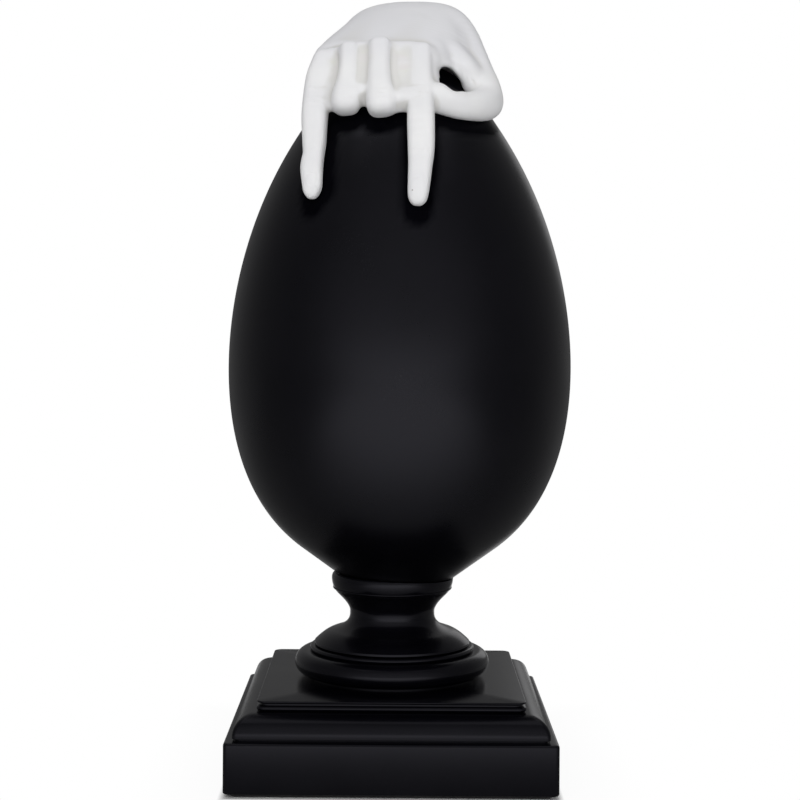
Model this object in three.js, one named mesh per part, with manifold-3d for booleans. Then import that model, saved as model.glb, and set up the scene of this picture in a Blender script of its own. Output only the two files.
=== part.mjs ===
// An egg on a turned stand, with a cast hand lying over its crown.
// Millimetres, +Z up, -Y towards the viewer. The origin is the middle of the felt's underside.
import * as THREE from "three";
import { mergeVertices } from "three/addons/utils/BufferGeometryUtils.js";
import Module from "manifold-3d";

// Felt and plinth
const feltThickness = 2;
const feltInset = 4;
const plinthSide = 190;
const blockHeight = 29;
const blockCorner = 3;
const blockEdge = 1.5;
const revealInset = 6;
const revealHeight = 1.4;
const ovoloInset = 4.5;
const ovoloFillet = 1.2;
const ovoloWidth = 12;
const ovoloHeight = 11.4;
const quirk = 0.8;
const plateauSide = 150.2;
const plateauCorner = 5;
const beadRadius = 2.6;

// Stem, turned about its own axis, heights from its foot
const footRadius = 50;
const footHeight = 2;
const torusRadius = 59.7;
const torusTube = 7;
const ringRadius = 50.4;
const ringTube = 1.5;
const grooveDepth = 1.7;
const grooveHeight = 1;
const bellRadius = 47.6;
const bellHeight = 18;
const shoulderRadius = 36.2;
const shoulderRise = 8.5;
const neckRadius = 26;
const neckHeight = 2;
const coneRise = 10.5;
const collarFoot = 33.4;
const collarRadius = 37.4;
const collarHeight = 13;
const collarLip = 1.8;

// Egg, heights from its foot
const eggHeight = 322.6;
const eggHalfLength = 158.4;
const eggGirth = 103.3;
const eggTaper = -0.183;
const eggBelly = 0.0366;
const eggTip = -0.0585;
const eggCrown = 0.3;
const crownPower = 12;
const eggFootRadius = 27;
const eggShift = 3.5;
const seatDepth = 8.5;
const bedGap = 0.3;

// Fixings along the stem's axis
const insertRadius = 6;
const insertLength = 18;
const insertGroove = 0.8;
const insertFit = 0.15;
const pocketDepth = 20;
const rodRadius = 4;
const rodChamfer = 0.8;
const rodClearance = 0.3;
const threadFit = 0.15;
const rodTail = 3;
const rodShort = 1;
const recessRadius = 20;
const recessDepth = 24;
const washerRadius = 12;
const washerThickness = 1.6;
const lockWasherRadius = 7;
const lockWasherThickness = 2;
const lockWasherSlot = 16;
const nutFlats = 13;
const nutHeight = 6.5;

// Dowels between the egg's crown and the palm, places from the egg's axis
const dowelRadius = 2.5;
const dowelInPalm = 12;
const dowelInEgg = 16;
const dowelFit = 0.15;
const dowelChamfer = 0.5;
const dowelEndGap = 0.3;
const dowelPlaces = [[-12, 2], [12, 4]];

// Hand: how far each web lies behind its fingers, how much thinner it is, and the cut wrist
const webBack = 2;
const webThinning = 1;
const wristCut = { x: 9, y: 46, z: 27, leanBack: 14, turn: -16, block: 160 };

// Roundness of the turned and lofted surfaces
const eggSides = 48;
const eggSteps = 24;
const stemSides = 36;
const washerSides = 32;
const smallSides = 20;

const wasm = await Module();
wasm.setup();

// A closed geometry as a solid that can be cut and joined.
function solidFrom(geometry) {
  const bare = geometry.clone();
  bare.deleteAttribute("normal");
  bare.deleteAttribute("uv");
  const merged = mergeVertices(bare, 1e-4);
  return new wasm.Manifold(
    new wasm.Mesh({
      numProp: 3,
      vertProperties: merged.attributes.position.array,
      triVerts: new Uint32Array(merged.index.array),
    }),
  );
}

// A cut or joined solid as a geometry again.
function geometryFrom(solid) {
  const mesh = solid.getMesh();
  const geometry = new THREE.BufferGeometry();
  geometry.setAttribute("position", new THREE.BufferAttribute(mesh.vertProperties, 3));
  geometry.setIndex(new THREE.BufferAttribute(mesh.triVerts, 1));
  geometry.computeVertexNormals();
  return geometry;
}

// Points of an arc in a profile's plane, angles in degrees from the outward direction.
function arc(x, z, radius, from, to, steps, rise = radius) {
  return Array.from({ length: steps + 1 }, (_, i) => {
    const angle = THREE.MathUtils.degToRad(from + ((to - from) * i) / steps);
    return [x + radius * Math.cos(angle), z + rise * Math.sin(angle)];
  });
}

// Points of a Bezier stretch between two profile points, without its first point.
function sweep(a, b, c, d, steps) {
  const [p, q, r, s] = [a, b, c, d].map(([x, z]) => new THREE.Vector2(x, z));
  const curve = new THREE.CubicBezierCurve(p, q, r, s);
  return curve.getPoints(steps).slice(1).map((v) => [v.x, v.y]);
}

// A profile of [radius, height] points turned about Z.
function turned(profile, sides) {
  const points = profile.map(([radius, height]) => new THREE.Vector2(radius, height));
  return new THREE.LatheGeometry(points, sides).rotateX(Math.PI / 2);
}

// A round bar standing on a height, for holes and dowels.
function bar(radius, bottom, top, sides = smallSides) {
  return turned([[0, bottom], [radius, bottom], [radius, top], [0, top]], sides);
}

// A closed skin over rings of points that all have the same count, capped at both ends.
function lofted(rings, firstCentre, lastCentre) {
  const count = rings[0].length;
  const points = [...rings.flat(), firstCentre, lastCentre];
  const first = points.length - 2;
  const last = points.length - 1;
  const faces = [];
  for (let i = 0; i < count; i++) {
    const j = (i + 1) % count;
    faces.push(first, j, i);
    for (let k = 0; k + 1 < rings.length; k++) {
      const low = k * count;
      const high = low + count;
      faces.push(low + i, low + j, high + j, low + i, high + j, high + i);
    }
    const top = (rings.length - 1) * count;
    faces.push(last, top + i, top + j);
  }
  const geometry = new THREE.BufferGeometry().setFromPoints(points);
  geometry.setIndex(faces);
  return geometry;
}

// One ring of a square with rounded corners, at a height.
function squareRing(half, corner, height) {
  const ring = [];
  for (let quarter = 0; quarter < 4; quarter++) {
    const turn = quarter * 90;
    const middle = new THREE.Vector2(half - corner, half - corner);
    middle.rotateAround(new THREE.Vector2(), THREE.MathUtils.degToRad(turn));
    for (const [x, y] of arc(middle.x, middle.y, corner, turn, turn + 90, 4)) {
      ring.push(new THREE.Vector3(x, y, height));
    }
  }
  return ring;
}

// A square moulding: a profile of [half side, height] points run round four sides.
function moulded(profile, cornerAt) {
  const rings = profile.map(([half, z]) => squareRing(half, cornerAt(z), z));
  const bottom = profile[0][1];
  const top = profile[profile.length - 1][1];
  return lofted(rings, new THREE.Vector3(0, 0, bottom), new THREE.Vector3(0, 0, top));
}

// Plinth

const plinthHeight =
  blockHeight + revealHeight + ovoloFillet + ovoloHeight + quirk + 2 * beadRadius;

function plinthGeometry() {
  const half = plinthSide / 2;
  const ovoloFoot = half - ovoloInset;
  const ovoloStart = blockHeight + revealHeight + ovoloFillet;
  const ovoloTop = ovoloStart + ovoloHeight;
  const beadCentre = plateauSide / 2;
  const profile = [
    ...arc(half - blockEdge, blockEdge, blockEdge, -90, 0, 3),
    ...arc(half - blockEdge, blockHeight - blockEdge, blockEdge, 0, 90, 3),
    [half - revealInset, blockHeight],
    [half - revealInset, blockHeight + revealHeight],
    [ovoloFoot, blockHeight + revealHeight],
    ...arc(ovoloFoot - ovoloWidth, ovoloStart, ovoloWidth, 0, 90, 7, ovoloHeight),
    [beadCentre, ovoloTop],
    ...arc(beadCentre, ovoloTop + quirk + beadRadius, beadRadius, -90, 90, 6),
  ];
  const cornerAt = (z) => (z > ovoloTop ? plateauCorner : blockCorner);
  const boring = bar(rodRadius + rodClearance, -1, plinthHeight + 1);
  const recess = bar(recessRadius, -1, recessDepth);
  return geometryFrom(
    solidFrom(moulded(profile, cornerAt)).subtract(solidFrom(boring)).subtract(solidFrom(recess)),
  );
}

function feltGeometry() {
  const half = plinthSide / 2 - feltInset;
  return moulded([[half, 0], [half, feltThickness]], () => blockCorner);
}

// Egg

const eggCentre = eggHeight - eggHalfLength;

// A point of the egg's curve, for the sine of its latitude.
function eggCurve(sine) {
  const crown = eggCrown * Math.max(sine, 0) ** crownPower;
  const fullness = 1 + eggTaper * sine + eggBelly * sine ** 2 + eggTip * sine ** 3 + crown;
  return [eggGirth * Math.sqrt(1 - sine * sine) * fullness, eggCentre + eggHalfLength * sine];
}

// The latitude in degrees where a straight skirt from the foot ring touches the curve.
function skirtLatitude() {
  const latitudes = Array.from({ length: 180 }, (_, i) => -75 + i / 4);
  const steepness = latitudes.map((degrees) => {
    const [radius, height] = eggCurve(Math.sin(THREE.MathUtils.degToRad(degrees)));
    return (radius - eggFootRadius) / height;
  });
  return latitudes[steepness.indexOf(Math.max(...steepness))];
}

// The egg's profile from foot to crown, moved out by grow along its normals.
function eggProfile(grow) {
  const start = skirtLatitude();
  const points = [[eggFootRadius, 0]];
  for (let i = 0; i <= eggSteps; i++) {
    const degrees = start + ((90 - start) * i) / eggSteps;
    points.push(eggCurve(Math.sin(THREE.MathUtils.degToRad(degrees))));
  }
  const last = points.length - 1;
  points[last][0] = 0;
  return points.map(([radius, height], i) => {
    if (i === last) return [0, height + grow];
    const [r0, z0] = points[Math.max(i - 1, 0)];
    const [r1, z1] = points[i + 1];
    const length = Math.hypot(r1 - r0, z1 - z0);
    return [radius + (grow * (z1 - z0)) / length, height - (grow * (r1 - r0)) / length];
  });
}

// A solid egg grown by a gap round its sides, which shapes what beds against it.
function eggCutter(gap) {
  const profile = eggProfile(gap);
  const [[r0, z0], [r1, z1]] = profile;
  const footRadius = r0 - (z0 * (r1 - r0)) / (z1 - z0);
  return turned([[0, 0], [footRadius, 0], ...profile.slice(1)], eggSides);
}

function eggGeometry() {
  const body = turned([[0, 0], ...eggProfile(0)], eggSides);
  const pocket = bar(insertRadius + insertFit, -1, pocketDepth).translate(-eggShift, 0, 0);
  let egg = solidFrom(body).subtract(solidFrom(pocket));
  for (const [x, y] of dowelPlaces) {
    const depth = dowelInEgg + dowelEndGap;
    const hole = bar(dowelRadius + dowelFit, eggHeight - depth, eggHeight + 1);
    egg = egg.subtract(solidFrom(hole.translate(x, y, 0)));
  }
  return geometryFrom(egg);
}

// Stem

const torusCentre = footHeight + torusTube;
const ringCentre = footHeight + 2 * torusTube + ringTube;
const bellStart = ringCentre + ringTube + grooveHeight;
const neckStart = bellStart + bellHeight;
const neckTop = neckStart + neckHeight;
const collarStart = neckTop + coneRise;
const stemHeight = collarStart + collarHeight;
const seatHeight = stemHeight - seatDepth;

function stemGeometry() {
  const boreRadius = rodRadius + rodClearance;
  const shoulder = [shoulderRadius, bellStart + shoulderRise];
  const lip = collarLip;
  const profile = [
    [boreRadius, 0],
    [footRadius, 0],
    [footRadius, footHeight],
    ...arc(torusRadius - torusTube, torusCentre, torusTube, -90, 90, 8),
    ...arc(ringRadius - ringTube, ringCentre, ringTube, -90, 90, 4),
    [bellRadius - grooveDepth, bellStart - grooveHeight],
    [bellRadius, bellStart],
    ...sweep(
      [bellRadius, bellStart],
      [bellRadius - 2, bellStart + 4.5],
      [shoulder[0] + 6, shoulder[1] - 1.5],
      shoulder,
      4,
    ),
    ...sweep(
      shoulder,
      [shoulder[0] - 6, shoulder[1] + 1.8],
      [neckRadius, neckStart - 5],
      [neckRadius, neckStart],
      4,
    ),
    [neckRadius, neckTop],
    ...sweep(
      [neckRadius, neckTop],
      [neckRadius + 0.4, neckTop + 4],
      [collarFoot - 2, collarStart - 2],
      [collarFoot, collarStart],
      3,
    ),
    ...sweep(
      [collarFoot, collarStart],
      [collarRadius - 0.8, collarStart + 3],
      [collarRadius, collarStart + 7],
      [collarRadius, stemHeight - 2 * lip],
      4,
    ),
    ...sweep(
      [collarRadius, stemHeight - 2 * lip],
      [collarRadius, stemHeight - lip],
      [collarRadius - lip / 3, stemHeight - lip / 3],
      [collarRadius - lip, stemHeight],
      2,
    ),
    [boreRadius, stemHeight],
    [boreRadius, 0],
  ];
  const egg = eggCutter(bedGap).translate(eggShift, 0, seatHeight);
  return geometryFrom(solidFrom(turned(profile, stemSides)).subtract(solidFrom(egg)));
}

// Hand. Its places are measured from the egg's crown: x across, y away from the viewer, z up.

// A tapering limb: a closed skin over oval sections set along a smooth line, round at both ends.
// Each station is [x, y, z, half width, half thickness].
function limb(stations, across, sides = 12, squareness = 2) {
  const line = new THREE.CatmullRomCurve3(stations.map(([x, y, z]) => new THREE.Vector3(x, y, z)));
  const sizes = new THREE.CatmullRomCurve3(stations.map(([, , , w, t]) => new THREE.Vector3(w, t, 0)));
  const spans = (stations.length - 1) * 2;
  const evenArea = Math.sqrt((2 * Math.PI) / sides / Math.sin((2 * Math.PI) / sides));
  const rings = [];
  const addRing = (u, scale, slide) => {
    const ahead = line.getTangent(u);
    const side = across.clone().addScaledVector(ahead, -across.dot(ahead)).normalize();
    const up = new THREE.Vector3().crossVectors(ahead, side);
    const size = sizes.getPoint(u);
    const centre = line.getPoint(u).addScaledVector(ahead, slide * size.y);
    rings.push(
      Array.from({ length: sides }, (_, i) => {
        const angle = (i / sides) * 2 * Math.PI;
        const round = (v) => Math.sign(v) * Math.abs(v) ** (2 / squareness);
        return centre
          .clone()
          .addScaledVector(side, size.x * evenArea * scale * round(Math.cos(angle)))
          .addScaledVector(up, size.y * evenArea * scale * round(Math.sin(angle)));
      }),
    );
  };
  const capAngles = [70, 40].map(THREE.MathUtils.degToRad);
  for (const angle of capAngles) addRing(0, Math.cos(angle), -Math.sin(angle));
  for (let i = 0; i <= spans; i++) addRing(i / spans, 1, 0);
  for (const angle of [...capAngles].reverse()) addRing(1, Math.cos(angle), Math.sin(angle));
  const mean = (ring) => ring.reduce((sum, p) => sum.add(p), new THREE.Vector3()).divideScalar(sides);
  const ends = [mean(rings[0]), mean(rings[rings.length - 1])];
  return lofted(rings, ...ends);
}

// How far in front of the egg's axis a point lies, at a drop below the crown and a lift off the egg.
function frontOf(x, drop, lift) {
  const sine = 1 - drop / eggHalfLength;
  const [radius] = eggCurve(sine);
  const [lower] = eggCurve(sine - 0.01);
  const run = (lower - radius) / (0.01 * eggHalfLength);
  const reach = radius + lift * Math.hypot(1, run);
  return -Math.sqrt(Math.max(reach * reach - x * x, 0));
}

// Stations laid down the front of the egg, each [x, drop, lift, half width, half thickness].
function draped(stations) {
  return stations.map(([x, drop, lift, w, t]) => [x, frontOf(x, drop, lift), -drop, w, t]);
}

const fingers = {
  little: [
    [-45, -26, -6, 9.6, 10.4],
    [-48, -36, -14, 9.2, 9.8],
    [-50.4, -42.5, -26, 8.6, 8.8],
    [-51.2, -48.5, -40, 7.8, 7.6],
    ...draped([
      [-51, 54.3, 6.2, 6.9, 6.7],
      [-51.1, 63, 5.7, 6.1, 6.2],
      [-51.8, 71, 5.5, 6.1, 6],
      [-51.4, 80, 5.1, 5.7, 5.5],
      [-51.4, 85.4, 4.8, 4.8, 4.9],
    ]),
  ],
  ring: [
    [-29.5, -32, -3.5, 9.6, 11],
    [-31.5, -45, -11, 9.4, 10.4],
    [-32.2, -53, -21.5, 8.8, 9.4],
    [-32.8, -56.5, -30, 8.9, 8.7],
  ],
  middle: [
    [-9.5, -34, -2, 10.2, 11.6],
    [-10.8, -48.5, -10.5, 9.8, 10.8],
    [-11.6, -58, -22, 9.2, 9.7],
    [-12, -62, -31.6, 9, 9],
  ],
  index: [
    [12, -32, -3, 10.4, 11.4],
    [11.8, -47, -12, 9.6, 10],
    [11.4, -57, -25, 8.8, 8.8],
    ...draped([
      [11.1, 40.8, 7, 8.3, 7.8],
      [11.2, 57.8, 6, 7.7, 7],
      [10.8, 68.5, 5.5, 6.9, 6.4],
      [10, 80, 5.2, 6.3, 6],
      [9.4, 89.2, 5, 5.7, 5.5],
    ]),
  ],
};

const foldedBack = {
  ring: [[-32.8, -57, -30.4, 8.5, 8.3], [-32.4, -44, -31, 8, 8], [-31.6, -34, -28, 8, 8]],
  middle: [[-12, -62.4, -32, 8.6, 8.5], [-11.8, -50, -33, 8, 8], [-11.4, -38, -31, 8, 8]],
};

const thumb = [
  [24, 33, 22, 15.6, 15],
  [34, 20, 15.6, 15, 14.4],
  [41.4, 7, 4.6, 13.8, 13.4],
  [47.4, -5, -8, 12.5, 12],
  [51, -15, -18.6, 11.6, 11],
  [51.2, -25, -26.8, 10.8, 10],
  [45.6, -38, -30.6, 9.8, 9.1],
  [35, -49.5, -31, 9, 8.4],
  [25, -54.4, -29, 8.7, 7.9],
  [14, -55.6, -27.8, 8, 7.2],
];

const thenar = [
  [24, 34, 12, 14.5, 13.5],
  [32, 18, 2, 15.5, 14.5],
  [36, 2, -7, 12.5, 12.5],
  [36, -10, -14, 8.5, 8.5],
];

const thumbWeb = [
  [22, 24, 17, 17, 13],
  [28, 8, 12, 17, 13],
  [32.5, -8, 3.5, 15.5, 10.5],
  [36.5, -21, -8, 13.5, 6],
];

const palm = [
  [7, 46, 28, 34, 17.8],
  [4.5, 30, 23.2, 38.6, 18.5],
  [-1, 10, 14.2, 39.4, 18],
  [-8.5, -12, 4.5, 40.4, 15.4],
  [-14.5, -29, -2.5, 40.2, 12.9],
];

// A web fills the valley between two neighbouring fingers, halfway between them and a little
// behind; its free end is drawn back and up by its own amounts.
function web(a, b, stationCount, endBack, endRise) {
  return Array.from({ length: stationCount }, (_, i) => {
    const [xa, ya, za, , ta] = a[i];
    const [xb, yb, zb, , tb] = b[i];
    const isEnd = i === stationCount - 1;
    return [
      (xa + xb) / 2,
      (ya + yb) / 2 + (isEnd ? endBack : webBack),
      (za + zb) / 2 + (isEnd ? endRise : 0),
      Math.abs(xb - xa) / 2,
      Math.min(ta, tb) - webThinning,
    ];
  });
}

const acrossHand = new THREE.Vector3(1, -0.12, 0).normalize();
const acrossThumb = new THREE.Vector3(0.35, 0.5, -0.8).normalize();
const acrossThumbWeb = new THREE.Vector3(0.75, 0, -0.66).normalize();

// The waste beyond the wrist, a block laid against the plane of the cut.
function wristWaste() {
  const { x, y, z, leanBack, turn, block } = wristCut;
  return new THREE.BoxGeometry(block, block, block)
    .translate(0, block / 2, 0)
    .rotateX(THREE.MathUtils.degToRad(leanBack))
    .rotateZ(THREE.MathUtils.degToRad(turn))
    .translate(x, y, z);
}

function handGeometry() {
  const limbs = [
    limb(palm, acrossHand, 24, 2.5),
    ...Object.values(fingers).map((stations) => limb(stations, acrossHand)),
    ...Object.values(foldedBack).map((stations) => limb(stations, acrossHand)),
    limb(thumb, acrossThumb, 14),
    limb(thumbWeb, acrossThumbWeb),
    limb(thenar, acrossHand),
    limb(web(fingers.little, fingers.ring, 3, 4, 0), acrossHand),
    limb(web(fingers.ring, fingers.middle, 4, 5, 5), acrossHand),
    limb(web(fingers.middle, fingers.index, 4, 6, 6), acrossHand),
  ];
  let hand = limbs.map(solidFrom).reduce((joined, next) => joined.add(next));
  hand = hand.subtract(solidFrom(wristWaste()));
  hand = hand.subtract(solidFrom(eggCutter(bedGap).translate(0, 0, -eggHeight)));
  for (const [x, y] of dowelPlaces) {
    const hole = bar(dowelRadius + dowelFit, -dowelInEgg, dowelInPalm + dowelEndGap);
    hand = hand.subtract(solidFrom(hole.translate(x, y, 0)));
  }
  return geometryFrom(hand);
}

// Fixings

function insertGeometry() {
  const bore = rodRadius + threadFit;
  const rib = insertLength / 5;
  const groove = insertRadius - insertGroove;
  const profile = [
    [bore, 0],
    [insertRadius, 0],
    [insertRadius, rib],
    [groove, rib],
    [groove, 2 * rib],
    [insertRadius, 2 * rib],
    [insertRadius, 3 * rib],
    [groove, 3 * rib],
    [groove, 4 * rib],
    [insertRadius, 4 * rib],
    [insertRadius, insertLength],
    [bore, insertLength],
    [bore, 0],
  ];
  return turned(profile, smallSides);
}

// A round pin with chamfered ends.
function pinGeometry(radius, length, chamfer) {
  const profile = [
    [0, 0],
    [radius - chamfer, 0],
    [radius, chamfer],
    [radius, length - chamfer],
    [radius - chamfer, length],
    [0, length],
  ];
  return turned(profile, smallSides);
}

function washerGeometry() {
  const bore = rodRadius + rodClearance;
  const profile = [
    [bore, 0],
    [washerRadius, 0],
    [washerRadius, washerThickness],
    [bore, washerThickness],
    [bore, 0],
  ];
  return turned(profile, washerSides);
}

// A ring split by a narrow slot.
function lockWasherGeometry() {
  const halfSlot = THREE.MathUtils.degToRad(lockWasherSlot / 2);
  const shape = new THREE.Shape();
  shape.absarc(0, 0, lockWasherRadius, halfSlot, 2 * Math.PI - halfSlot, false);
  shape.absarc(0, 0, rodRadius + rodClearance, 2 * Math.PI - halfSlot, halfSlot, true);
  shape.closePath();
  return new THREE.ExtrudeGeometry(shape, {
    depth: lockWasherThickness,
    bevelEnabled: false,
    curveSegments: smallSides,
  });
}

function nutGeometry() {
  const corner = nutFlats / Math.sqrt(3);
  const shape = new THREE.Shape(
    Array.from({ length: 6 }, (_, i) => {
      const angle = (i * Math.PI) / 3;
      return new THREE.Vector2(corner * Math.cos(angle), corner * Math.sin(angle));
    }),
  );
  shape.holes.push(new THREE.Path().absarc(0, 0, rodRadius + threadFit, 0, 2 * Math.PI, true));
  return new THREE.ExtrudeGeometry(shape, { depth: nutHeight, bevelEnabled: false, curveSegments: 10 });
}

// Assembly

const blackResin = { color: 0x232327, roughness: 0.42, metalness: 0 };
const whiteResin = { color: 0xe9e8ea, roughness: 0.6, metalness: 0 };
const steel = { color: 0xb4b6ba, roughness: 0.35, metalness: 1 };
const brass = { color: 0xb58d45, roughness: 0.35, metalness: 1 };
const felt = { color: 0x18181a, roughness: 0.95, metalness: 0 };

function piece(name, geometry, finish, x = 0, y = 0, z = 0) {
  const mesh = new THREE.Mesh(geometry, new THREE.MeshStandardMaterial(finish));
  mesh.name = name;
  mesh.position.set(x, y, z);
  return mesh;
}

const plinthBottom = feltThickness;
const stemBottom = plinthBottom + plinthHeight;
const eggBottom = stemBottom + seatHeight;
const washerBottom = plinthBottom + recessDepth - washerThickness;
const lockWasherBottom = washerBottom - lockWasherThickness;
const nutBottom = lockWasherBottom - nutHeight;
const rodBottom = nutBottom - rodTail;
const rodLength = eggBottom + insertLength - rodShort - rodBottom;
const dowelLength = dowelInPalm + dowelInEgg;

const stand = new THREE.Group();
stand.add(
  piece("felt_base", feltGeometry(), felt),
  piece("plinth", plinthGeometry(), blackResin, 0, 0, plinthBottom),
  piece("stem", stemGeometry(), blackResin, 0, 0, stemBottom),
  piece("tie_rod", pinGeometry(rodRadius, rodLength, rodChamfer), steel, 0, 0, rodBottom),
  piece("clamp_washer", washerGeometry(), steel, 0, 0, washerBottom),
  piece("lock_washer", lockWasherGeometry(), steel, 0, 0, lockWasherBottom),
  piece("clamp_nut", nutGeometry(), steel, 0, 0, nutBottom),
);

// The egg and what it carries share the egg's axis, apart from the insert over the stem.
const top = new THREE.Group();
top.position.set(eggShift, 0, eggBottom);
top.add(
  piece("egg", eggGeometry(), blackResin),
  piece("foot_insert", insertGeometry(), brass, -eggShift, 0, 0),
  piece("hand", handGeometry(), whiteResin, 0, 0, eggHeight),
);
dowelPlaces.forEach(([x, y], i) => {
  const dowel = pinGeometry(dowelRadius, dowelLength, dowelChamfer);
  top.add(piece(`hand_dowel_${i + 1}`, dowel, steel, x, y, eggHeight - dowelInEgg));
});

const group = new THREE.Group();
group.add(stand, top);

export default group;
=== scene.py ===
"""Looks, light and camera for an egg on a turned stand with a cast hand over its crown.

Shapes are worked out in millimetres in the frame's own axes, and turned into metres as meshes.
"""

import math

import bpy
import numpy as np
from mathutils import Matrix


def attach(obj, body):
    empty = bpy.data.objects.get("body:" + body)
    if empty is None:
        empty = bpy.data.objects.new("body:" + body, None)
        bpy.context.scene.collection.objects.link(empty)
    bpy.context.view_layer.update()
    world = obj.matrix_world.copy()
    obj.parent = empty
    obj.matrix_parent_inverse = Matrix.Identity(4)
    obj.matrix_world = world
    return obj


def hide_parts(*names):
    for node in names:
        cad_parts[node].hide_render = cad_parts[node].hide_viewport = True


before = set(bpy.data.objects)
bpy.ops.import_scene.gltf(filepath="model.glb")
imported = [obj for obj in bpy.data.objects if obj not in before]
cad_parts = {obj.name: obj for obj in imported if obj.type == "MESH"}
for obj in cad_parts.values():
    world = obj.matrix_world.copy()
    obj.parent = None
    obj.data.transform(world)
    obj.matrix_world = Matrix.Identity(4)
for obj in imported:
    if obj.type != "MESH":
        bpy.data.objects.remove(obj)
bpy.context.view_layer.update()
MM = 0.001

# Plinth and felt
FELT_THICKNESS, FELT_INSET = 2.0, 4.0
PLINTH_SIDE, BLOCK_HEIGHT, BLOCK_CORNER, BLOCK_EDGE = 190.0, 29.0, 3.0, 1.5
REVEAL_INSET, REVEAL_HEIGHT = 6.0, 1.4
OVOLO_INSET, OVOLO_FILLET, OVOLO_WIDTH, OVOLO_HEIGHT = 4.5, 1.2, 12.0, 11.4
QUIRK, PLATEAU_SIDE, PLATEAU_CORNER, BEAD_RADIUS = 0.8, 150.2, 5.0, 2.6
EDGE_RISE, EDGE_BEAD, EDGE_STEP, EDGE_GROOVE, GROOVE_INSET = 0.3, 1.45, 0.2, 1.0, 0.6
EDGE_LIP, LIP_INSET, SOFT_EDGE = 0.55, 0.3, 0.35
BORE, RECESS_RADIUS, RECESS_DEPTH = 4.3, 20.0, 24.0
# How far the felt's edge stands out from its half width, and at what height
FELT_EDGE = [(-0.4, 0), (0, 0.3), (0.15, 1.0), (0, 1.7), (-0.2, FELT_THICKNESS)]

# Stem, heights from its foot
FOOT_RADIUS, FOOT_HEIGHT, TORUS_RADIUS, TORUS_TUBE = 50.0, 2.0, 59.7, 7.0
RING_RADIUS, RING_TUBE, GROOVE_DEPTH, GROOVE_HEIGHT = 50.4, 1.5, 1.7, 1.0
BELL_RADIUS, BELL_HEIGHT, SHOULDER_RADIUS, SHOULDER_RISE = 47.6, 18.0, 36.2, 8.5
NECK_RADIUS, NECK_HEIGHT, CONE_RISE = 26.0, 2.0, 10.5
COLLAR_FOOT, COLLAR_RADIUS, COLLAR_HEIGHT, COLLAR_LIP = 33.4, 37.4, 13.0, 1.8
COLLAR_BEAD, COLLAR_BEAD_RISE, BELL_FILLET = 0.6, 3.6, 1.2

# Egg, heights from its foot
EGG_HEIGHT, EGG_HALF, EGG_GIRTH, EGG_FOOT = 322.6, 158.4, 103.3, 27.0
EGG_TAPER, EGG_BELLY, EGG_TIP, EGG_CROWN, CROWN_POWER = -0.183, 0.0366, -0.0585, 0.3, 12
EGG_SHIFT, SEAT_DEPTH, BED_GAP = 3.5, 8.5, 0.3
POCKET_RADIUS, POCKET_DEPTH = 6.15, 20.0
DOWEL_HOLE, DOWEL_IN_PALM, DOWEL_IN_EGG = 2.65, 12.3, 16.3
DOWEL_PLACES = [(-12, 2), (12, 4)]
# The rounding under the egg: out from its foot's radius, and height, and where it ends
FOOT_ROUNDING, FOOT_ROUNDING_TOP = [(-1.2, 0.0), (-0.3, 0.3)], 0.6

PLINTH_TOP = (
    FELT_THICKNESS + BLOCK_HEIGHT + REVEAL_HEIGHT + OVOLO_FILLET + OVOLO_HEIGHT + QUIRK + 2 * BEAD_RADIUS
)
BELL_START = FOOT_HEIGHT + 2 * TORUS_TUBE + 2 * RING_TUBE + GROOVE_HEIGHT
NECK_START = BELL_START + BELL_HEIGHT
COLLAR_START = NECK_START + NECK_HEIGHT + CONE_RISE
STEM_HEIGHT = COLLAR_START + COLLAR_HEIGHT
EGG_BOTTOM = PLINTH_TOP + STEM_HEIGHT - SEAT_DEPTH
CROWN = np.array((EGG_SHIFT, 0, EGG_BOTTOM + EGG_HEIGHT))


# Meshes

# Sides of a turned form and of a bar, and the angle in degrees over which an edge counts as sharp
SIDES, BAR_SIDES, SHARP = 160, 48, 32


def mesh_object(name, points, faces, crease=SHARP):
    """An object from points in millimetres, smooth but for edges sharper than crease degrees."""
    mesh = bpy.data.meshes.new(name)
    mesh.from_pydata(np.asarray(points) * MM, [], faces)
    mesh.validate()
    mesh.shade_smooth()
    mesh.set_sharp_from_angle(angle=math.radians(crease))
    obj = bpy.data.objects.new(name, mesh)
    bpy.context.scene.collection.objects.link(obj)
    return obj


def loft(rings, closed=False):
    """Points and faces over rings of one count, joined end to end or capped by fans."""
    rings = np.asarray(rings, float)
    spans, count = rings.shape[:2]
    points = rings.reshape(-1, 3)
    low = np.arange(spans if closed else spans - 1)[:, None] * count
    high = (low + count) % (spans * count)
    i = np.arange(count)[None]
    j = (i + 1) % count
    faces = np.stack([low + i, low + j, high + j, high + i], -1).reshape(-1, 4).tolist()
    if not closed:
        ends = [rings[0].mean(0), rings[-1].mean(0)]
        points = np.vstack([points, ends])
        first, last = spans * count, spans * count + 1
        top = (spans - 1) * count
        faces += [[first, (k + 1) % count, k] for k in range(count)]
        faces += [[last, top + k, top + (k + 1) % count] for k in range(count)]
    return points, faces


def arc(x, z, radius, start, end, steps, rise=None):
    """Profile points on an arc, angles in degrees from the outward direction."""
    turns = np.radians(np.linspace(start, end, steps + 1))
    rise = radius if rise is None else rise
    return [(x + radius * math.cos(t), z + rise * math.sin(t)) for t in turns]


def sweep(a, b, c, d, steps):
    """Profile points on a Bezier stretch, without its first point."""
    a, b, c, d = (np.array(p, float) for p in (a, b, c, d))
    shares = np.linspace(0, 1, steps + 1)[1:]
    return [
        tuple((1 - t) ** 3 * a + 3 * (1 - t) ** 2 * t * b + 3 * (1 - t) * t * t * c + t**3 * d)
        for t in shares
    ]


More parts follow.
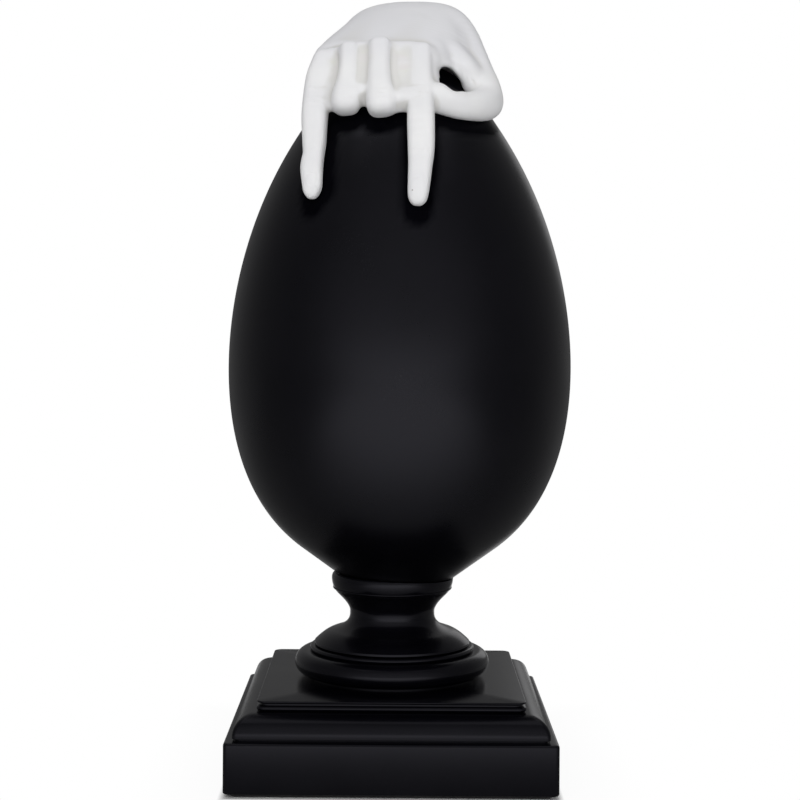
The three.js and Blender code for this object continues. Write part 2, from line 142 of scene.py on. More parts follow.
def turned_rings(profile, sides, centre=(0, 0, 0)):
    """Rings of a profile of (radius, height) turned about an upright line."""
    turns = np.arange(sides) / sides * 2 * math.pi
    circle = np.stack([np.cos(turns), np.sin(turns), 0 * turns], 1)
    return [circle * r + np.array((0, 0, z)) + centre for r, z in profile]


def bar(radius, bottom, top, x=0, y=0):
    """A round bar, as points and faces, for cutting a hole."""
    return loft(turned_rings([(radius, bottom), (radius, top)], BAR_SIDES, (x, y, 0)))


def cut(obj, tools):
    """Cuts closed shapes out of an object and shades what is left."""
    for points, faces in tools:
        tool = mesh_object("tool", points, faces)
        change = obj.modifiers.new("cut", "BOOLEAN")
        change.solver = "EXACT"
        change.object = tool
        evaluated = obj.evaluated_get(bpy.context.evaluated_depsgraph_get())
        mesh = bpy.data.meshes.new_from_object(evaluated)
        obj.modifiers.clear()
        obj.data = mesh
        bpy.data.objects.remove(tool)
    obj.data.shade_smooth()
    obj.data.set_sharp_from_angle(angle=math.radians(SHARP))


def softened(obj, width, segments=2):
    """Rounds an object's sharp edges by a width in millimetres."""
    change = obj.modifiers.new("soft edges", "BEVEL")
    change.width = width * MM
    change.segments = segments
    change.limit_method = "ANGLE"
    change.angle_limit = math.radians(SHARP)
    change.use_clamp_overlap = True
    evaluated = obj.evaluated_get(bpy.context.evaluated_depsgraph_get())
    mesh = bpy.data.meshes.new_from_object(evaluated)
    obj.modifiers.clear()
    obj.data = mesh
    obj.data.shade_smooth()


# Plinth and felt

SIDE_STEPS, CORNER_STEPS = 14, 10


def square_ring(half, corner, height):
    """A square with rounded corners, as points from the middle of its first side's end."""
    middle = half - corner
    side = [(half, y) for y in np.linspace(-middle, middle, SIDE_STEPS + 1)[:-1]]
    steps = np.radians(np.linspace(0, 90, CORNER_STEPS + 1)[:-1])
    bend = [(middle + corner * math.cos(t), middle + corner * math.sin(t)) for t in steps]
    ring = []
    for quarter in range(4):
        turn = quarter * math.pi / 2
        cosine, sine = round(math.cos(turn)), round(math.sin(turn))
        for x, y in side + bend:
            ring.append((cosine * x - sine * y, sine * x + cosine * y, height))
    return np.array(ring)


def round_ring(radius, height):
    """A circle whose points lie in the same directions as a square ring's."""
    guide = square_ring(PLATEAU_SIDE / 2, PLATEAU_CORNER, height)
    turns = np.arctan2(guide[:, 1], guide[:, 0])
    return np.stack([radius * np.cos(turns), radius * np.sin(turns), 0 * turns + height], 1)


def make_plinth():
    """A block, a reveal, an ovolo and a plateau with a bead, a groove and a lip round its edge."""
    half = PLINTH_SIDE / 2
    foot = half - OVOLO_INSET
    start = BLOCK_HEIGHT + REVEAL_HEIGHT + OVOLO_FILLET
    top = start + OVOLO_HEIGHT
    edge = PLATEAU_SIDE / 2
    outer = edge + BEAD_RADIUS
    bead = top + EDGE_RISE + EDGE_BEAD
    groove = bead + EDGE_BEAD + EDGE_STEP
    inner = outer - EDGE_BEAD - GROOVE_INSET
    lip = top + QUIRK + 2 * BEAD_RADIUS - EDGE_LIP
    outside = [
        *arc(half - BLOCK_EDGE, BLOCK_EDGE, BLOCK_EDGE, -90, 0, 6),
        *arc(half - BLOCK_EDGE, BLOCK_HEIGHT - BLOCK_EDGE, BLOCK_EDGE, 0, 90, 6),
        (half - REVEAL_INSET, BLOCK_HEIGHT),
        (half - REVEAL_INSET, BLOCK_HEIGHT + REVEAL_HEIGHT),
        (foot, BLOCK_HEIGHT + REVEAL_HEIGHT),
        *arc(foot - OVOLO_WIDTH, start, OVOLO_WIDTH, 0, 90, 20, OVOLO_HEIGHT),
        (edge, top),
        *arc(outer - EDGE_BEAD, bead, EDGE_BEAD, -90, 90, 12),
        (inner, groove),
        (inner, groove + EDGE_GROOVE),
        *arc(outer - LIP_INSET - EDGE_LIP, lip, EDGE_LIP, -60, 90, 6),
    ]
    rings = [
        square_ring(r, PLATEAU_CORNER if z > top else BLOCK_CORNER, z + FELT_THICKNESS) for r, z in outside
    ]
    inside = [(BORE, PLINTH_TOP), (BORE, FELT_THICKNESS + RECESS_DEPTH)]
    inside += [(RECESS_RADIUS, FELT_THICKNESS + RECESS_DEPTH), (RECESS_RADIUS, FELT_THICKNESS)]
    rings += [round_ring(r, z) for r, z in inside]
    plinth = mesh_object("plinth_dressed", *loft(rings, closed=True))
    softened(plinth, SOFT_EDGE)
    return plinth


def make_felt():
    half = PLINTH_SIDE / 2 - FELT_INSET
    rings = [square_ring(half + out, BLOCK_CORNER, z) for out, z in FELT_EDGE]
    return mesh_object("felt_dressed", *loft(rings))


# Egg

# Painted shades of the hand: how far off a point of the egg looks for it, their width, and their greatest x
SHADES = [((0, 0, 0), 2.6, math.inf), ((0, -1, 5), 5, math.inf), ((0, -1, 9), 4, math.inf)]
SHADES += [((-5, 0, 2), 5, -30)]
SHADE_START = 1.1


def egg_radius(above):
    """The egg's radius at heights from its crown, downwards negative."""
    sine = np.clip(1 + np.asarray(above, float) / EGG_HALF, -0.98, 1)
    crown = EGG_CROWN * np.maximum(sine, 0) ** CROWN_POWER
    fullness = 1 + EGG_TAPER * sine + EGG_BELLY * sine**2 + EGG_TIP * sine**3 + crown
    return EGG_GIRTH * np.sqrt(1 - sine**2) * fullness


def egg_profile(grow=0.0, steps=110):
    """The egg's outline from foot to crown, with a straight skirt up from the foot."""
    middle = EGG_HEIGHT - EGG_HALF
    trial = np.radians(np.arange(-75, -30, 0.25))
    heights = middle + EGG_HALF * np.sin(trial)
    steepness = (egg_radius(heights - EGG_HEIGHT) - EGG_FOOT) / heights
    start = trial[int(np.argmax(steepness))]
    turns = np.linspace(start, math.pi / 2, steps + 1)
    height = middle + EGG_HALF * np.sin(turns)
    radius = egg_radius(height - EGG_HEIGHT)
    line = np.vstack([[EGG_FOOT, 0], np.stack([radius, height], 1)])
    ahead = np.gradient(line, axis=0)
    ahead /= np.linalg.norm(ahead, axis=1)[:, None]
    line = line + grow * np.stack([ahead[:, 1], -ahead[:, 0]], 1)
    line[-1] = (0.02, EGG_HEIGHT + grow)
    return [tuple(p) for p in line]


def hand_shade(clay, points):
    """How deep points of the egg lie in the hand's painted shade, from 0 to 1."""
    shade = np.zeros(len(points))
    high = [axis[-1] for axis in clay.axes]
    for shift, wide, limit in SHADES:
        moved = points + shift
        near = np.all((moved > clay.low) & (moved < high), axis=1) & (points[:, 0] <= limit)
        distance = clay.sample(clay.values, moved[near])
        shade[near] = np.maximum(shade[near], np.clip(SHADE_START - distance / wide, 0, 1))
    return shade


def paint(obj, name, numbers):
    """Keeps a number for each point of an object, for its material."""
    attribute = obj.data.attributes.new(name, "FLOAT", "POINT")
    attribute.data.foreach_set("value", numbers.astype(np.float32))


def make_egg(clay):
    foot = [(EGG_FOOT + out, z) for out, z in FOOT_ROUNDING]
    profile = foot + [(r, z) for r, z in egg_profile() if z > FOOT_ROUNDING_TOP]
    points, faces = loft(turned_rings(profile, SIDES, (EGG_SHIFT, 0, EGG_BOTTOM)))
    egg = mesh_object("egg_dressed", points, faces)
    tools = [bar(POCKET_RADIUS, EGG_BOTTOM - 5, EGG_BOTTOM + POCKET_DEPTH)]
    for x, y in DOWEL_PLACES:
        tools.append(bar(DOWEL_HOLE, CROWN[2] - DOWEL_IN_EGG, CROWN[2] + 5, x + EGG_SHIFT, y))
    cut(egg, tools)
    # Painted shade of the hand, kept on the egg's points, where it dulls the egg's shine
    corners = np.array([vertex.co for vertex in egg.data.vertices]) / MM - CROWN
    paint(egg, "shade", hand_shade(clay, corners))
    return egg


# Stem


def beaded_collar():
    """The collar's swelling, with a fine bead turned round it."""
    swelling = sweep(
        (COLLAR_FOOT, COLLAR_START),
        (COLLAR_RADIUS - 0.8, COLLAR_START + 3),
        (COLLAR_RADIUS, COLLAR_START + 7),
        (COLLAR_RADIUS, STEM_HEIGHT - 2 * COLLAR_LIP),
        14,
    )
    line = COLLAR_START + COLLAR_BEAD_RISE
    radius = float(np.interp(line, [z for _, z in swelling], [r for r, _ in swelling]))
    below = [p for p in swelling if p[1] < line - COLLAR_BEAD]
    above = [p for p in swelling if p[1] > line + COLLAR_BEAD]
    return [*below, *arc(radius, line, COLLAR_BEAD, -75, 75, 8), *above]


def make_stem():
    neck_top = NECK_START + NECK_HEIGHT
    shoulder = (SHOULDER_RADIUS, BELL_START + SHOULDER_RISE)
    ring_centre = FOOT_HEIGHT + 2 * TORUS_TUBE + RING_TUBE
    lip = COLLAR_LIP
    profile = [
        (BORE, 0),
        (FOOT_RADIUS, 0),
        (FOOT_RADIUS, FOOT_HEIGHT),
        *arc(TORUS_RADIUS - TORUS_TUBE, FOOT_HEIGHT + TORUS_TUBE, TORUS_TUBE, -90, 90, 28),
        *arc(RING_RADIUS - RING_TUBE, ring_centre, RING_TUBE, -90, 90, 14),
        (BELL_RADIUS - GROOVE_DEPTH, BELL_START - GROOVE_HEIGHT),
        (BELL_RADIUS, BELL_START),
        (BELL_RADIUS, BELL_START + BELL_FILLET),
        *sweep(
            (BELL_RADIUS, BELL_START + BELL_FILLET),
            (BELL_RADIUS - 2.6, BELL_START + BELL_FILLET + 2.4),
            (shoulder[0] + 5, shoulder[1] - 1.2),
            shoulder,
            14,
        ),
        *sweep(
            shoulder,
            (shoulder[0] - 6, shoulder[1] + 1.8),
            (NECK_RADIUS, NECK_START - 5),
            (NECK_RADIUS, NECK_START),
            16,
        ),
        (NECK_RADIUS, neck_top),
        *sweep(
            (NECK_RADIUS, neck_top),
            (NECK_RADIUS + 0.4, neck_top + 4),
            (COLLAR_FOOT - 2, COLLAR_START - 2),
            (COLLAR_FOOT, COLLAR_START),
            12,
        ),
        *beaded_collar(),
        *sweep(
            (COLLAR_RADIUS, STEM_HEIGHT - 2 * lip),
            (COLLAR_RADIUS, STEM_HEIGHT - lip),
            (COLLAR_RADIUS - lip / 3, STEM_HEIGHT - lip / 3),
            (COLLAR_RADIUS - lip, STEM_HEIGHT),
            8,
        ),
        (BORE, STEM_HEIGHT),
    ]
    rings = turned_rings(profile, SIDES, (0, 0, PLINTH_TOP))
    stem = mesh_object("stem_dressed", *loft(rings, closed=True))
    seat = [(r, z) for r, z in egg_profile(BED_GAP, 60) if 0.2 < z < 60]
    seat = [(EGG_FOOT + BED_GAP * 0.7, 0.0), *seat]
    cut(stem, [loft(turned_rings(seat, SIDES, (EGG_SHIFT, 0, EGG_BOTTOM)))])
    return stem


# Hand, sculpted in millimetres from the egg's crown: x across, y away from the viewer, z up.
# A station of a limb is (x, y, z, half width, half thickness).


def front_of(x, drop, lift):
    """How far in front of the egg's axis a point lies, at a drop below the crown and off the egg."""
    radius = float(egg_radius(-drop))
    run = float(egg_radius(-drop - 1)) - radius
    reach = radius + lift * math.hypot(1, run)
    return -math.sqrt(max(reach * reach - x * x, 0))


def draped(rows):
    """Stations on the egg, from rows of x, drop, lift off it, half width and half thickness."""
    return [(x, front_of(x, drop, lift), -drop, w, t) for x, drop, lift, w, t in rows]


LITTLE = [(-45.8, -37, -7.4, 7.8, 8.2), (-48.6, -41, -16, 7.8, 8.4), (-50.2, -44.4, -27, 7.8, 8.2)]
LITTLE += [(-51.2, -48.5, -40, 7.6, 7.5)]
LITTLE += draped([(-51, 54.3, 6.2, 6.9, 6.7), (-51.1, 63, 5.7, 6.1, 6.2), (-51.9, 71, 5.5, 6.5, 6)])
LITTLE += draped([(-51.4, 80, 5.1, 5.8, 5.4), (-51.4, 83, 4.7, 5, 4.9), (-51.4, 85.6, 4, 3.4, 3.9)])
RING = [(-31, -42.7, -2.6, 5.8, 8), (-31.2, -49.4, -13.6, 5.7, 8.2), (-31.8, -53.4, -22, 6.4, 8.6)]
RING += [(-32.4, -56.3, -29.6, 7.9, 8.2)]
FLANGE = [(-40.5, -47.5, -24, 4.6, 5), (-40.8, -49.5, -31, 4.4, 5)]
MIDDLE = [(-13, -44.6, -0.6, 6.8, 8.4), (-13, -52.4, -12.6, 6.6, 8.6), (-12.6, -58.2, -22.6, 7.2, 8.9)]
MIDDLE += [(-11.8, -61.8, -31, 8.5, 8.6)]
INDEX = [(11.6, -43.2, -3.4, 6.5, 8.2), (11.6, -50.4, -14.6, 6.6, 8.2), (11.4, -56.8, -26, 7.3, 8.4)]
INDEX += draped([(11.1, 40.8, 7, 7.9, 7.8), (11.2, 57.8, 6, 7.7, 7), (10.8, 68.5, 5.5, 6.9, 6.4)])
INDEX += draped([(10, 80, 5.2, 6.3, 6), (9.4, 87, 4.9, 5.6, 5.3), (9.2, 89.9, 4.2, 3.8, 4.2)])
INDEX_FILL = [(20, -28, -1, 7, 8), (22.5, -32, -7, 7, 8)]
INDEX_SIDE = [(16, -38, -4, 5.8, 8), (16.4, -44, -15, 5.8, 8.4), (16.6, -48, -27, 5.8, 8.4)]
RING_BACK = [(-32.5, -57, -29.8, 8, 8.2), (-32.4, -44, -31, 8, 8), (-31.6, -34, -28, 8, 8)]
MIDDLE_BACK = [(-11.8, -62.2, -31.4, 8.4, 8.4), (-11.8, -50, -33, 8, 8), (-11.4, -38, -31, 8, 8)]
THUMB = [(24, 33, 22, 15.6, 15), (34, 20, 15.6, 15, 14.4), (39.8, 7, 4.2, 13.2, 13)]
THUMB += [(45.2, -5, -8.6, 12, 11.8), (49.6, -15, -18.8, 11.3, 10.9), (50.8, -25, -26.8, 10.7, 10)]
THUMB += [(45.6, -38, -31, 9.4, 9), (35, -49.5, -32.2, 8.3, 8.3), (24, -54.6, -29.2, 9.3, 7.8)]
THUMB += [(14, -55.6, -27.6, 8, 7.2)]
THENAR = [(24, 34, 12, 14, 13), (32, 18, 2, 15, 14), (36, 2, -7, 12, 12), (36, -10, -14, 8, 8)]
THUMB_WEB = [(20, 24, 19, 20, 13), (26, 8, 12.5, 17, 12), (32, -8, 3.5, 14.5, 9.5), (36.5, -21, -8, 12, 5.5)]
THUMB_LUMP = [(31.5, -20, 0, 7.2, 8.6), (36.5, -21, -6.5, 8.4, 9.6), (42, -20, -14, 7.4, 8.6)]
OPENING = [(28.3, -60, -18.1, 8.7, 4.1), (29.7, -10, -11.3, 8.7, 4.1)]
PALM = [(7, 46, 28, 34, 17.8), (4.5, 30, 23.2, 38.6, 18.5), (-1, 10, 14.2, 39.2, 17.9)]
PALM += [(-8.5, -12, 4.9, 40, 15.2), (-14.5, -29, -2.5, 39.6, 12.7)]
KNUCKLES = [(12.3, -38, -5, 6.8, 9), (-11.4, -38.6, -2.6, 8.8, 9), (-31, -36.6, -4, 7.8, 9)]
KNUCKLES += [(-45.6, -31, -8.4, 7.6, 8.6), (-2.6, -38.2, -4.4, 4.2, 9)]
ACROSS_HAND, ACROSS_THUMB, ACROSS_WEB = (1, -0.12, 0), (0.35, 0.5, -0.8), (0.75, 0, -0.66)
ACROSS_LUMP, ACROSS_OPENING = (0.75, 0, 0.66), (0.66, 0, -0.75)
WRIST_POINT, WRIST_NORMAL = np.array((9, 46, 27)), np.array((0.267, 0.933, 0.242))

# How far the skin between two fingers lies behind them
WEB_BACK = 3.2
# The block of clay, and its distance before any limb is in
CLAY_LOW, CLAY_HIGH, CLAY_FAR = (-68, -104, -100), (72, 62, 52), 14.0
# How far past its blend a limb is worked out, and its distance beyond that
LIMB_MARGIN, LIMB_FAR = 5.0, 99.0
CELL, QUICK_CELL = 0.8, 1.4
# Blur of the skin, a wider one that finds crevices for painted shade, their depth, and the hand's own sharp
# angle
SKIN_BLUR, CREVICE_BLUR, CREVICE_DEPTH, HAND_SHARP = 0.8, 2.6, 0.55, 50
CREASE_WIDTH, CREASE_BOW = 0.8, 0.6
# Where the painted shade on the back of the hand begins, bluer and darker, and over how much height it comes
# in
BACK_SHADE_START, BACK_SHADE_BLEND = -12, 16
# Nails: finger, height, half width and half length
NAILS = [(INDEX, -85, 4.4, 6.0), (LITTLE, -81, 3.7, 5.0)]
# Stained valleys: x, z and their radii, on the side in front of STAIN_FRONT
STAINS, STAIN_FRONT = [(-40, -9, 3.4, 7), (-22.6, -3, 4.6, 6), (1, -9, 4.4, 12)], -36


def web(a, b, count, end_back, end_rise=0.0):
    """Stations of the skin between two fingers, halfway between them and a little behind."""
    rows = []
    for i in range(count):
        (xa, ya, za, _, ta), (xb, yb, zb, _, tb) = a[i], b[i]
        last = i == count - 1
        y = (ya + yb) / 2 + (end_back if last else WEB_BACK)
        z = (za + zb) / 2 + (end_rise if last else 0)
        rows.append(((xa + xb) / 2, y, z, abs(xb - xa) / 2, min(ta, tb) - 1))
    return rows


def smooth_line(rows, steps):
    """Points of a Catmull-Rom line through rows."""
    rows = np.asarray(rows, float)
    rows = np.vstack([2 * rows[0] - rows[1], rows, 2 * rows[-1] - rows[-2]])
    points = []
    for p0, p1, p2, p3 in zip(rows[:-3], rows[1:-2], rows[2:-1], rows[3:]):
        for t in np.arange(steps) / steps:
            cubic = (3 * p1 - p0 - 3 * p2 + p3) * t**3
            points.append(0.5 * (2 * p1 + (p2 - p0) * t + (2 * p0 - 5 * p1 + 4 * p2 - p3) * t * t + cubic))
    return np.array([*points, rows[-2]])


def unit(v):
    return np.asarray(v, float) / np.linalg.norm(v)


def square_to(ahead, across):
    """The direction square to ahead that lies nearest to across."""
    across = np.array(across, float)
    return unit(across - ahead * (across @ ahead))


class Clay:
    """A grid of distances to a skin, negative inside, built up limb by limb."""

    def __init__(self, low, high, cell):
        self.low, self.cell = np.array(low, float), cell
        counts = np.ceil((np.array(high) - self.low) / cell).astype(int) + 1
        self.axes = [self.low[i] + cell * np.arange(counts[i]) for i in range(3)]
        self.values = np.full(counts, CLAY_FAR, np.float32)

    def window(self, low, high):
        """The slices and coordinates of the grid between two corners."""
        counts = np.array(self.values.shape)
        a = np.clip(np.floor((np.array(low) - self.low) / self.cell).astype(int), 0, counts - 1)
        b = np.clip(np.ceil((np.array(high) - self.low) / self.cell).astype(int) + 1, 1, counts)
        where = tuple(slice(a[i], b[i]) for i in range(3))
        grid = np.meshgrid(*[self.axes[i][where[i]] for i in range(3)], indexing="ij", sparse=True)
        return where, [g.astype(np.float32) for g in grid]

    def limb(self, rows, across, blend, power=2.0, steps=3, carve=False):
        """Joins a limb softly, or carves it out: a smooth line of oval sections with round ends."""
        line = smooth_line(rows, steps)
        reach = blend + LIMB_MARGIN
        pad = line[:, 3:].max() + reach
        whole, _ = self.window(line[:, :3].min(0) - pad, line[:, :3].max(0) + pad)
        new = np.full(self.values[whole].shape, LIMB_FAR, np.float32)
        for a, b in zip(line[:-1], line[1:]):
            pad = max(a[3:].max(), b[3:].max()) + reach
            low = np.minimum(a[:3], b[:3]) - pad
            where, (x, y, z) = self.window(low, np.maximum(a[:3], b[:3]) + pad)
            local = tuple(slice(w.start - o.start, w.stop - o.start) for w, o in zip(where, whole))
            length = float(np.linalg.norm(b[:3] - a[:3]))
            ahead = unit(b[:3] - a[:3])
            side = square_to(ahead, across)
            up = np.cross(ahead, side)
            dx, dy, dz = x - np.float32(a[0]), y - np.float32(a[1]), z - np.float32(a[2])
            along = dx * ahead[0] + dy * ahead[1] + dz * ahead[2]
            share = np.clip(along / length, 0, 1)
            wide, thick = a[3] + share * (b[3] - a[3]), a[4] + share * (b[4] - a[4])
            past = along - share * length
            s = dx * side[0] + dy * side[1] + dz * side[2]
            t = dx * up[0] + dy * up[1] + dz * up[2]
            scale = (np.abs(s / wide) ** power + np.abs(t / thick) ** power + np.abs(past / thick) ** power)
            scale = np.maximum(scale ** (1 / power), 1e-4)
            span = np.sqrt(s * s + t * t + past * past)
            distance = np.maximum(span * (1 - 1 / scale), -np.minimum(wide, thick))
            new[local] = np.minimum(new[local], distance.astype(np.float32))
        sign = -1 if carve else 1
        old = sign * self.values[whole]
        share = np.clip(0.5 + 0.5 * (old - new) / blend, 0, 1)
        self.values[whole] = sign * (old + (new - old) * share - blend * share * (1 - share))

    def blur(self, values, sigma):
        """The grid smoothed by a bell of sigma millimetres."""
        half = int(math.ceil(3 * sigma / self.cell))
        weights = np.exp(-0.5 * (np.arange(-half, half + 1) * self.cell / sigma) ** 2)
        weights /= weights.sum()
        for axis in range(3):
            padding = [(half, half) if i == axis else (0, 0) for i in range(3)]
            padded = np.pad(values, padding, mode="edge")
            total = np.zeros_like(values)
            for k, weight in enumerate(weights):
                place = [slice(None)] * 3
                place[axis] = slice(k, k + values.shape[axis])
                total += np.float32(weight) * padded[tuple(place)]
            values = total
        return values

    def press(self, centre, frame_axes, half_length, width, depth, bow=0.0, thick=3.5):
        """Presses a crease: centre, its (along, across, outward) axes and its sizes."""
        along, across, out = frame_axes
        pad = half_length * 1.6 + 3 * width + 2
        where, (x, y, z) = self.window(np.array(centre) - pad, np.array(centre) + pad)
        dx, dy, dz = x - centre[0], y - centre[1], z - centre[2]
        u = dx * along[0] + dy * along[1] + dz * along[2]
        v = dx * across[0] + dy * across[1] + dz * across[2] + bow * (u / half_length) ** 2
        w = dx * out[0] + dy * out[1] + dz * out[2]
        shape = np.exp(-((v / width) ** 2) - (u / half_length) ** 4 - (w / thick) ** 2)
        self.values[where] += (depth * shape).astype(np.float32)

    def front(self, x, z):
        """The first point of the skin that a line from the front meets."""
        i, k = (int(round((v - self.low[a]) / self.cell)) for v, a in ((x, 0), (z, 2)))
        return np.array((x, self.axes[1][int(np.argmax(self.values[i, :, k] < 0))], z))

    def sample(self, values, points):
        """Grid values at points, in straight lines between grid corners."""
        place = (points - self.low) / self.cell
        corner = np.clip(np.floor(place).astype(int), 0, np.array(values.shape) - 2)
        share = place - corner
        total = np.zeros(len(points))
        for step in np.ndindex(2, 2, 2):
            near = np.abs(1 - np.array(step) - share)
            i, j, k = (corner + step).T
            total += near[:, 0] * near[:, 1] * near[:, 2] * values[i, j, k]
        return total

    def skin(self):
        """The skin as points and four-sided faces, one point to each cell that it crosses."""
        f = self.values
        inside = f < 0
        cells = tuple(n - 1 for n in f.shape)
        total = np.zeros(cells + (3,), np.float32)
        count = np.zeros(cells, np.float32)
        halves = []
        for axis in range(3):
            lower, upper = [slice(None)] * 3, [slice(None)] * 3
            lower[axis], upper[axis] = slice(None, -1), slice(1, None)
            halves.append((tuple(lower), tuple(upper)))
            crossed = inside[halves[axis][0]] != inside[halves[axis][1]]
            fa, fb = f[halves[axis][0]], f[halves[axis][1]]
            share = np.where(crossed, fa / np.where(crossed, fa - fb, 1), 0)
            first, second = [i for i in range(3) if i != axis]
            for p in (0, 1):
                for q in (0, 1):
                    part = [slice(None)] * 3
                    part[first] = slice(p, cells[first] + p)
                    part[second] = slice(q, cells[second] + q)
                    here = crossed[tuple(part)]
                    total[..., axis] += np.where(here, share[tuple(part)], 0)
                    total[..., first] += here * p
                    total[..., second] += here * q
                    count += here
        used = count > 0
        index = np.full(cells, -1)
        index[used] = np.arange(used.sum())
        points = self.low + self.cell * (np.stack(np.nonzero(used), 1) + total[used] / count[used][:, None])
        quads = []
        for axis, (lower, upper) in enumerate(halves):
            first, second = [i for i in range(3) if i != axis]
            starts, ends = inside[lower], inside[upper]
            for leaving in (True, False):
                found = np.stack(np.nonzero((starts != ends) & (starts == leaving)), 1)
                corners = []
                for p, q in ((0, 0), (1, 0), (1, 1), (0, 1)):
                    cell = found.copy()
                    cell[:, first] -= 1 - p
                    cell[:, second] -= 1 - q
                    corners.append(index[cell[:, 0], cell[:, 1], cell[:, 2]])
                quad = np.stack(corners, 1)
                quads.append(quad[:, ::-1] if leaving != (axis != 1) else quad)
        return points, np.concatenate(quads)


def on_limb(rows, height):
    """The outer skin point of a limb at a height, with its (side, ahead, outward) axes."""
    line = smooth_line(rows, 12)
    i = int(np.argmin(np.abs(line[:, 2] - height)))
    i = min(max(i, 1), len(line) - 2)
    ahead = unit(line[i + 1, :3] - line[i - 1, :3])
    side = square_to(ahead, ACROSS_HAND)
    out = np.cross(side, ahead)
    if out[1] > 0:
        out = -out
    return line[i, :3] + out * line[i, 4], (side, ahead, out)


# Each crease is (x, z, half length, depth, slope in degrees) on the skin that faces the viewer.
CREASES = [(10.9, -21.8, 6.8, 0.34, 2), (10, -23.8, 4, 0.24, -4), (11.2, -26.4, 6, 0.36, -3)]
CREASES += [(10.8, -29.2, 6.6, 0.4, 3), (10.6, -61.5, 5.8, 0.36, 2), (10.9, -63.4, 4.4, 0.26, -3)]
CREASES += [(-13, -24.6, 4, 0.24, 4), (-12.8, -27, 5.4, 0.4, -3), (-12.4, -29.2, 5, 0.34, 3)]
CREASES += [(-31.4, -23.2, 5, 0.4, -2), (-31.8, -25.2, 3.6, 0.26, 5), (-32, -29, 5, 0.36, 2)]
CREASES += [(-49.6, -22.4, 5.4, 0.4, 3), (-50.2, -24.2, 3.8, 0.26, -3), (-50.4, -28.8, 5.4, 0.36, 2)]
CREASES += [(-50.6, -31.4, 5, 0.32, -4), (-51, -58, 4.8, 0.34, 3), (-51.2, -60, 3.6, 0.24, -3)]
CREASES += [(35.4, -9.4, 4.2, 0.42, -74), (38.2, -10.6, 4.6, 0.46, -70), (41, -12.4, 4, 0.4, -66)]
CREASES += [(33, -7, 3, 0.3, -60), (43.4, -15.2, 3, 0.34, -62)]


def sculpt_hand(cell):
    """The hand's clay, bedded on the egg and bored for its dowels, and how hollow its skin is, for painted
    shade.
    """
    clay = Clay(CLAY_LOW, CLAY_HIGH, cell)
    clay.limb(PALM, ACROSS_HAND, 0.5, 2.6, 7)
    clay.limb(THUMB, ACROSS_THUMB, 7, 2.3, 4)
    clay.limb(THUMB_WEB, ACROSS_WEB, 6, 2.0, 4)
    clay.limb(THENAR, ACROSS_HAND, 4, 2.0, 4)
    for finger in (LITTLE, RING, MIDDLE, INDEX):
        clay.limb(finger, ACROSS_HAND, 3, 3.2, 4)
    clay.limb(INDEX_SIDE, ACROSS_HAND, 3, 2.4)
    clay.limb(INDEX_FILL, ACROSS_HAND, 5)
    for x, y, z, wide, thick in KNUCKLES:
        clay.limb([(x, y + 8, z + 2, wide, thick), (x, y, z, wide, thick)], ACROSS_HAND, 3, 3.2, 2)
    for finger in (RING_BACK, MIDDLE_BACK):
        clay.limb(finger, ACROSS_HAND, 2.5, 2.6)
    clay.limb(web(LITTLE, RING, 3, 4), ACROSS_HAND, 2, 4)
    clay.limb(web(RING, MIDDLE, 4, 3.5, 5), ACROSS_HAND, 2, 4)
    clay.limb(web(MIDDLE, INDEX, 4, 4, 6), ACROSS_HAND, 2, 4)
    clay.limb(FLANGE, ACROSS_HAND, 2.5, 2.4)
    clay.limb(THUMB_LUMP, ACROSS_LUMP, 7, 2.2)
    clay.limb(OPENING, ACROSS_OPENING, 2.5, 2.4, 1, carve=True)
    clay.values = clay.blur(clay.values, SKIN_BLUR)
    for k, (x, z, half_length, depth, slope) in enumerate(CREASES):
        lean = math.radians(slope)
        along = np.array((math.cos(lean), 0, math.sin(lean)))
        axes = (along, np.array((-along[2], 0, along[0])), np.array((0, -1, 0)))
        clay.press(clay.front(x, z), axes, half_length, CREASE_WIDTH, depth, CREASE_BOW * math.cos(1.7 * k))
    for finger, height, wide, tall in NAILS:
        nail(clay, finger, height, wide, tall)
    x, y, z = np.meshgrid(*[a.astype(np.float32) for a in clay.axes], indexing="ij", sparse=True)
    rho = np.sqrt(x * x + y * y)
    below = np.minimum(z, -0.01)
    radius = egg_radius(below).astype(np.float32)
    run = (egg_radius(below - 1) - radius).astype(np.float32)
    egg = np.where(z < 0, (rho - radius) / np.sqrt(1 + run**2), np.sqrt(rho * rho + z * z))
    # How hollow the skin is, which sets the shade painted into its crevices
    crevice_shading = clay.blur(clay.values, CREVICE_BLUR) - clay.values
    clay.values = np.maximum(clay.values, BED_GAP - egg)
    n = unit(WRIST_NORMAL)
    cutting = (x - WRIST_POINT[0]) * n[0] + (y - WRIST_POINT[1]) * n[1] + (z - WRIST_POINT[2]) * n[2]
    clay.values = np.maximum(clay.values, cutting)
    for hole_x, hole_y in DOWEL_PLACES:
        hole = np.maximum(np.hypot(x - hole_x, y - hole_y) - DOWEL_HOLE, z - DOWEL_IN_PALM)
        clay.values = np.maximum(clay.values, -hole)
    clay.values = clay.values.astype(np.float32)
    return clay, crevice_shading


def nail(clay, finger, height, wide, tall):
    """Presses the fold round a nail into a fingertip and flattens the plate a little."""
    centre, (side, ahead, out) = on_limb(finger, height)
    where, (x, y, z) = clay.window(centre - 14, centre + 14)
    dx, dy, dz = x - centre[0], y - centre[1], z - centre[2]
    u = (dx * side[0] + dy * side[1] + dz * side[2]) / wide
    v = (dx * ahead[0] + dy * ahead[1] + dz * ahead[2]) / tall
    w = dx * out[0] + dy * out[1] + dz * out[2]
    rim = (np.abs(u) ** 2.6 + np.abs(v) ** 2.6) ** (1 / 2.6)
    near = np.exp(-((w / 4) ** 2))
    fold = 0.24 * np.exp(-(((rim - 1) * wide / 0.75) ** 2)) * near
    plate = 0.16 * (rim < 1) * near * np.clip(1 - rim, 0, 1)
    clay.values[where] += (fold - plate).astype(np.float32)


